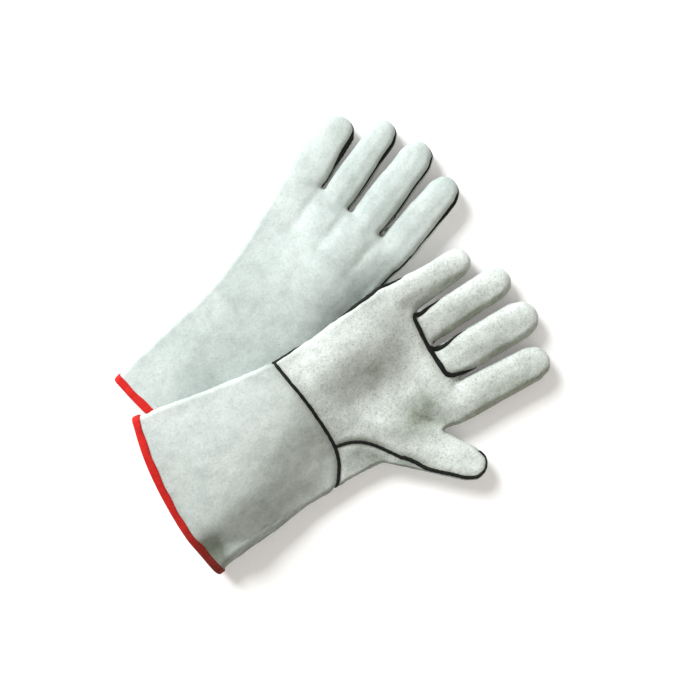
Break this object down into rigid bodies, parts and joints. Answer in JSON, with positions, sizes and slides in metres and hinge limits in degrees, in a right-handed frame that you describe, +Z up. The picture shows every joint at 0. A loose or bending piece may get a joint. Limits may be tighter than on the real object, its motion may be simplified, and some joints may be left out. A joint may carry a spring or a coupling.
{
  "type": "welding gloves",
  "caption": "Pair of gauntlet welding gloves in split leather with piped seams and a bound hem, laid one on the other.",
  "frame": {"origin": "centre of the pair's plan on the table it lies on", "axes": "+X midway between the directions the two gloves' fingers point in, +Z up"},
  "size_m": [0.3824, 0.322, 0.052],
  "materials": {
    "back_leather": "suede split leather, mottled grey-green",
    "palm_leather": "suede split leather, mottled grey-green",
    "piping": "smooth black strip sewn into the seams",
    "binding": "bright red folded tape",
    "lining": "brushed cotton fleece"
  },
  "bodies": {
    "left_hand": {"left_back_panel": "back_leather", "left_cuff_panel": "back_leather", "left_thumb_gusset": "palm_leather", "left_palm_panel": "palm_leather", "left_wrist_piping": "piping", "left_thumb_piping": "piping", "left_finger_base_piping": "piping", "left_side_piping": "piping", "left_hand_lining": "lining", "left_hem_binding": "binding", "left_thumb_front": "palm_leather", "left_thumb_back": "back_leather", "left_thumb_tip_piping": "piping", "left_thumb_lining": "lining"},
    "left_little": {"left_little_back": "back_leather", "left_little_front": "palm_leather", "left_little_piping": "piping", "left_little_lining": "lining"},
    "left_ring": {"left_ring_back": "back_leather", "left_ring_front": "palm_leather", "left_ring_piping": "piping", "left_ring_lining": "lining"},
    "left_middle": {"left_middle_back": "back_leather", "left_middle_front": "palm_leather", "left_middle_piping": "piping", "left_middle_lining": "lining"},
    "left_index": {"left_index_back": "back_leather", "left_index_front": "palm_leather", "left_index_piping": "piping", "left_index_lining": "lining"},
    "right_hand": {"right_back_panel": "back_leather", "right_cuff_panel": "back_leather", "right_thumb_gusset": "palm_leather", "right_palm_panel": "palm_leather", "right_wrist_piping": "piping", "right_thumb_piping": "piping", "right_finger_base_piping": "piping", "right_side_piping": "piping", "right_hand_lining": "lining", "right_hem_binding": "binding"},
    "right_little": {"right_little_back": "back_leather", "right_little_front": "palm_leather", "right_little_piping": "piping", "right_little_lining": "lining"},
    "right_ring": {"right_ring_back": "back_leather", "right_ring_front": "palm_leather", "right_ring_piping": "piping", "right_ring_lining": "lining"},
    "right_middle": {"right_middle_back": "back_leather", "right_middle_front": "palm_leather", "right_middle_piping": "piping", "right_middle_lining": "lining"},
    "right_index": {"right_index_back": "back_leather", "right_index_front": "palm_leather", "right_index_piping": "piping", "right_index_lining": "lining"},
    "right_thumb": {"right_thumb_front": "palm_leather", "right_thumb_back": "back_leather", "right_thumb_tip_piping": "piping", "right_thumb_lining": "lining"}
  },
  "joints": [
    {"name": "left_index_bend", "type": "hinge", "parent": "left_hand", "child": "left_index", "pos_m": [0.11211, 0.04022, 0.02329], "axis": [0.1908, -0.9816, 0], "range_deg": [0, 40]},
    {"name": "left_middle_bend", "type": "hinge", "parent": "left_hand", "child": "left_middle", "pos_m": [0.10561, 0.07362, 0.02526], "axis": [0.1908, -0.9816, 0], "range_deg": [0, 40]},
    {"name": "left_ring_bend", "type": "hinge", "parent": "left_hand", "child": "left_ring", "pos_m": [0.0993, 0.1061, 0.02295], "axis": [0.1908, -0.9816, 0], "range_deg": [0, 40]},
    {"name": "left_little_bend", "type": "hinge", "parent": "left_hand", "child": "left_little", "pos_m": [0.09336, 0.13665, 0.0222], "axis": [0.1908, -0.9816, 0], "range_deg": [0, 40]},
    {"name": "right_index_bend", "type": "hinge", "parent": "right_hand", "child": "right_index", "pos_m": [0.07251, -0.09973, 0.0232], "axis": [-0.1908, -0.9816, 0], "range_deg": [0, 65]},
    {"name": "right_middle_bend", "type": "hinge", "parent": "right_hand", "child": "right_middle", "pos_m": [0.07942, -0.0642, 0.0232], "axis": [-0.1908, -0.9816, 0], "range_deg": [0, 65]},
    {"name": "right_ring_bend", "type": "hinge", "parent": "right_hand", "child": "right_ring", "pos_m": [0.08614, -0.02964, 0.02714], "axis": [-0.1908, -0.9816, 0], "range_deg": [0, 65]},
    {"name": "right_little_bend", "type": "hinge", "parent": "right_hand", "child": "right_little", "pos_m": [0.09245, 0.00285, 0.03611], "axis": [-0.1908, -0.9816, 0], "range_deg": [0, 65]},
    {"name": "right_thumb_fold", "type": "hinge", "parent": "right_hand", "child": "right_thumb", "pos_m": [0.00609, -0.1021, 0.02303], "axis": [-0.9986, 0.0533, 0], "range_deg": [0, 50]},
    {"name": "right_glove_lift", "type": "slide", "parent": "left_hand", "child": "right_hand", "axis": [0, 0, 1], "range_m": [0, 0.12]}
  ]
}
